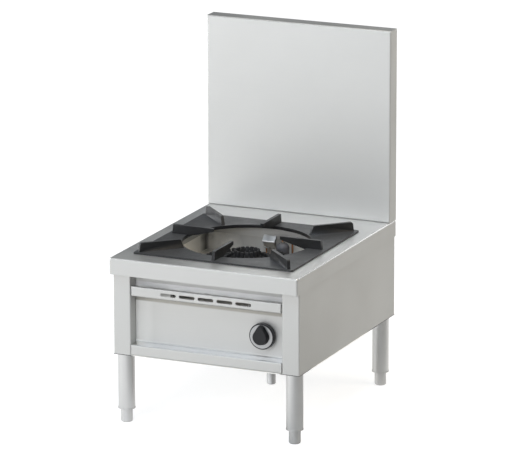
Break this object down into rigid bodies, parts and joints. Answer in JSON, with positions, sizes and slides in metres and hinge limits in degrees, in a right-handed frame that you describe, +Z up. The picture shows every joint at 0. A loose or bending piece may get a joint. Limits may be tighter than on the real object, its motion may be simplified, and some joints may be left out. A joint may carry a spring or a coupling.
{
  "type": "stock pot stove",
  "caption": "Low free-standing gas stock pot stove in folded stainless sheet, with a cast pot grate over a toothed burner, tall backsplash, pull-out drip tray, tap knob and levelling legs.",
  "frame": {"origin": "on the floor, under the middle of the worktop", "axes": "+Z up, -Y is the front with the knob, +X is the right side seen from the front"},
  "size_m": [0.6, 0.745, 1.096],
  "materials": {
    "brushed_sheet": "brushed stainless sheet",
    "pan_sheet": "dull stainless sheet",
    "leg_tube": "polished stainless tube",
    "foot_steel": "turned stainless",
    "fastener_steel": "bright zinc",
    "pipe_steel": "drawn steel pipe",
    "grate_iron": "dark as-cast iron",
    "burner_iron": "black as-cast iron",
    "pilot_steel": "bright bent plate",
    "pilot_body": "dark satin",
    "brass": "turned brass",
    "copper": "drawn copper tube",
    "knob_plastic": "black satin plastic",
    "knob_bright": "bright ring plate"
  },
  "bodies": {
    "stove": {"air_shutter": "fastener_steel", "back_panel": "brushed_sheet", "back_panel_screws": "fastener_steel", "backsplash": "brushed_sheet", "backsplash_cover": "brushed_sheet", "base_panel": "pan_sheet", "burner_bars": "pan_sheet", "burner_body": "burner_iron", "burner_bolts": "fastener_steel", "burner_middle_ring": "burner_iron", "burner_outer_ring": "burner_iron", "burner_pan": "pan_sheet", "control_panel": "brushed_sheet", "cover_screws": "fastener_steel", "feed_tube": "copper", "gas_tap": "brass", "holder_nut": "brass", "injector": "brass", "injector_holder": "brass", "inlet_pipe": "pipe_steel", "left_runner": "pan_sheet", "left_side_panel": "brushed_sheet", "leg_front_left": "leg_tube", "leg_front_right": "leg_tube", "leg_nuts": "fastener_steel", "leg_plates": "fastener_steel", "leg_plugs": "foot_steel", "leg_rear_left": "leg_tube", "leg_rear_right": "leg_tube", "mixing_tube": "burner_iron", "pilot_bracket": "pilot_steel", "pilot_burner": "pilot_body", "pilot_hood": "pilot_steel", "pilot_nut": "fastener_steel", "pilot_tube": "copper", "pipe_nuts": "fastener_steel", "right_runner": "pan_sheet", "right_side_panel": "brushed_sheet", "splash_bolts": "fastener_steel", "tap_nut": "brass", "thermocouple_lead": "copper", "thermocouple_probe": "fastener_steel", "worktop": "brushed_sheet"},
    "drip_tray": {"drip_tray": "pan_sheet", "tray_strip": "brushed_sheet", "tray_rivets": "fastener_steel"},
    "grate": {"grate": "grate_iron"},
    "burner_crown": {"burner_crown": "burner_iron"},
    "tap_push": {"push_guide": "brass"},
    "knob": {"knob": "knob_plastic", "knob_ring": "knob_bright", "tap_spindle": "fastener_steel"},
    "foot_front_left": {"foot_front_left": "foot_steel"},
    "foot_front_right": {"foot_front_right": "foot_steel"},
    "foot_rear_left": {"foot_rear_left": "foot_steel"},
    "foot_rear_right": {"foot_rear_right": "foot_steel"}
  },
  "joints": [
    {"name": "drip_tray_slide", "type": "slide", "parent": "stove", "child": "drip_tray", "axis": [0, -1, 0], "range_m": [0, 0.4]},
    {"name": "grate_lift", "type": "slide", "parent": "stove", "child": "grate", "axis": [0, 0, 1], "range_m": [0, 0.15]},
    {"name": "burner_crown_lift", "type": "slide", "parent": "stove", "child": "burner_crown", "axis": [0, 0, 1], "range_m": [0, 0.06]},
    {"name": "knob_press", "type": "slide", "parent": "stove", "child": "tap_push", "axis": [0, 1, 0], "range_m": [0, 0.004], "stiffness_N_per_m": 1500, "springref_m": -0.003},
    {"name": "knob_turn", "type": "hinge", "parent": "tap_push", "child": "knob", "pos_m": [0.1705, -0.3365, 0.313], "axis": [0, -1, 0], "range_deg": [0, 210]},
    {"name": "foot_front_left_level", "type": "slide", "parent": "stove", "child": "foot_front_left", "axis": [0, 0, -1], "range_m": [0, 0.022]},
    {"name": "foot_front_right_level", "type": "slide", "parent": "stove", "child": "foot_front_right", "axis": [0, 0, -1], "range_m": [0, 0.022]},
    {"name": "foot_rear_left_level", "type": "slide", "parent": "stove", "child": "foot_rear_left", "axis": [0, 0, -1], "range_m": [0, 0.022]},
    {"name": "foot_rear_right_level", "type": "slide", "parent": "stove", "child": "foot_rear_right", "axis": [0, 0, -1], "range_m": [0, 0.022]}
  ]
}
